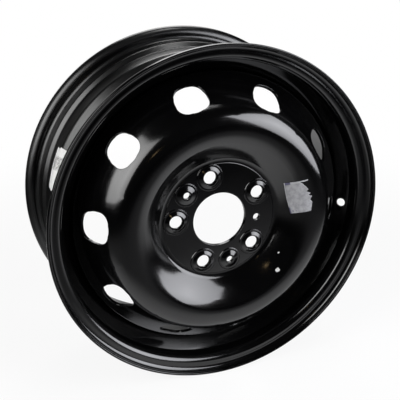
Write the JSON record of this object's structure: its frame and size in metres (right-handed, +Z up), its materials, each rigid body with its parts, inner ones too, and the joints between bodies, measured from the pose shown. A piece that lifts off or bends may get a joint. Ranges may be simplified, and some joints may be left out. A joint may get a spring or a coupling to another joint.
{
  "type": "steel wheel rim",
  "caption": "Gloss black pressed-steel wheel rim: a rolled drop-centre barrel with a bowl-shaped welded disc that has ventilation windows, raised bolt seats and a large centre bore.",
  "frame": {"origin": "centre of the centre bore on the mounting face of the disc", "axes": "+Y is the spin axis and points inboard, towards the hub; the outboard face looks to -Y; +Z is up"},
  "size_m": [0.4402, 0.1887, 0.44],
  "materials": {
    "black_paint": "gloss black dip paint on pressed steel",
    "white_paper": "matt white paper label",
    "grey_paper": "worn grey paper label with a torn edge"
  },
  "bodies": {
    "root": {"rim": "black_paint", "disc": "black_paint", "weld_beads": "black_paint", "rim_label": "white_paper", "disc_label": "grey_paper"}
  },
  "joints": []
}
